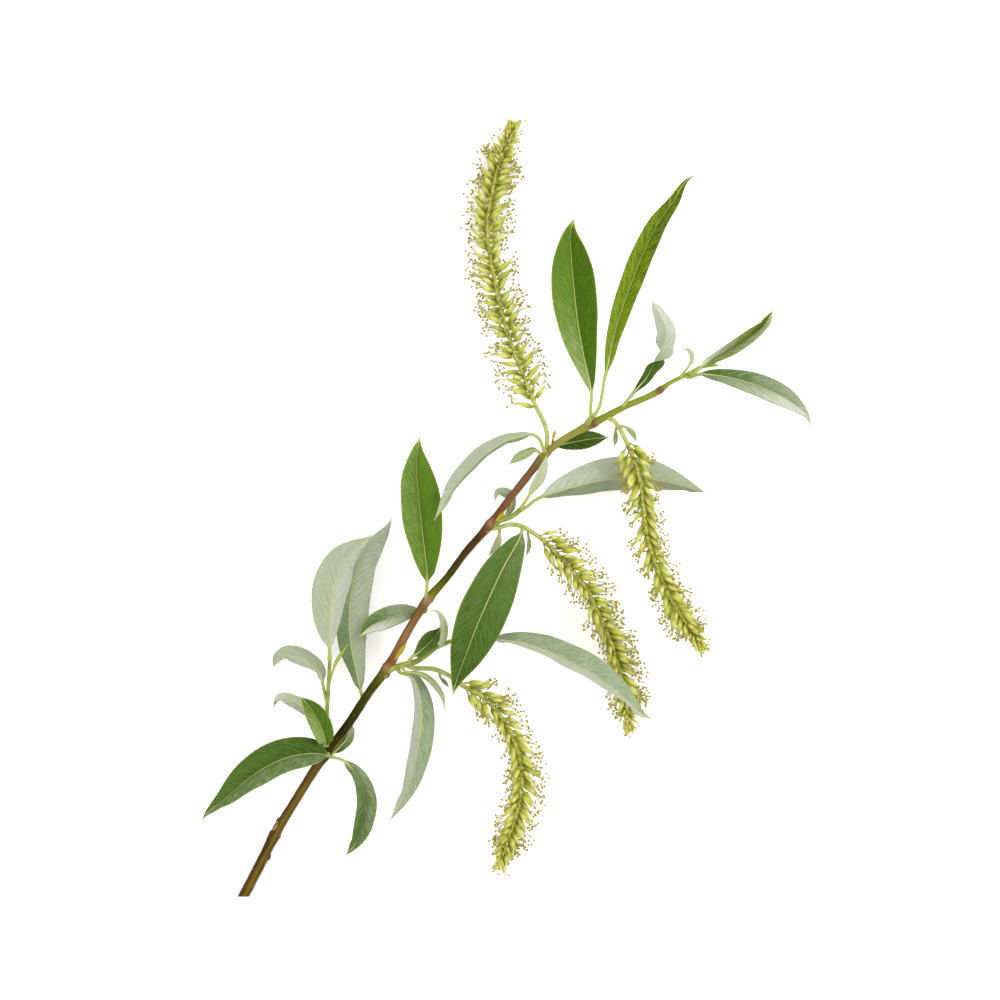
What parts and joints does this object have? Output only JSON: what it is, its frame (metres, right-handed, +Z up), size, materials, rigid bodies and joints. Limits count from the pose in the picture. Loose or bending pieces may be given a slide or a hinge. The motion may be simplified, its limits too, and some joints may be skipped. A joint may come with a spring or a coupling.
{
  "type": "willow branch",
  "caption": "Cut willow twig in spring, lying down: a thin woody stem with side shoots, young leaves and yellow flowering catkins.",
  "frame": {"origin": "on the surface that the branch lies on, under the middle of its bounding box", "axes": "+Y along the branch's length from the cut end towards the top, +Z up from the surface"},
  "size_m": [0.154, 0.1958, 0.0252],
  "materials": {
    "bark": "satin",
    "green_shoot": "satin",
    "leaf": "satin",
    "bud_scale": "matte",
    "catkin": "matte"
  },
  "bodies": {
    "root": {"main_stem": "bark", "shoot_low": "green_shoot", "shoot_middle": "green_shoot", "shoot_upper": "green_shoot", "shoot_top": "green_shoot", "catkin_top": "catkin", "catkin_low": "catkin", "catkin_middle": "catkin", "catkin_right": "catkin", "leaf_low_left": "leaf", "leaf_low_upright": "leaf", "leaf_low_curled": "leaf", "leaf_low_behind": "leaf", "leaf_low_right": "leaf", "leaf_low_tall": "leaf", "leaf_low_tall_back": "leaf", "young_leaf_low": "leaf", "leaf_low_arched": "leaf", "leaf_mid_left": "leaf", "leaf_mid_upright": "leaf", "leaf_fold_left": "leaf", "young_leaf_crown": "leaf", "leaf_hook_back": "leaf", "leaf_hook_front": "leaf", "leaf_long_right": "leaf", "leaf_crown_back": "leaf", "leaf_large_front": "leaf", "young_leaf_upper_low": "leaf", "leaf_arching_right": "leaf", "leaf_middle_upper": "leaf", "leaf_middle_curled": "leaf", "leaf_middle_drooping": "leaf", "leaf_middle_narrow": "leaf", "leaf_top_left": "leaf", "leaf_top_long": "leaf", "leaf_top_twisted": "leaf", "young_leaf_top": "leaf", "leaf_apex_up": "leaf", "leaf_apex_right": "leaf", "young_leaf_apex": "leaf", "bract_top_left": "bud_scale", "bract_top_right": "bud_scale", "bract_middle": "bud_scale", "bract_upper": "bud_scale", "bud_scale_middle": "bud_scale", "bud_scale_upper": "bud_scale", "bud_scale_crown": "bud_scale"}
  },
  "joints": []
}
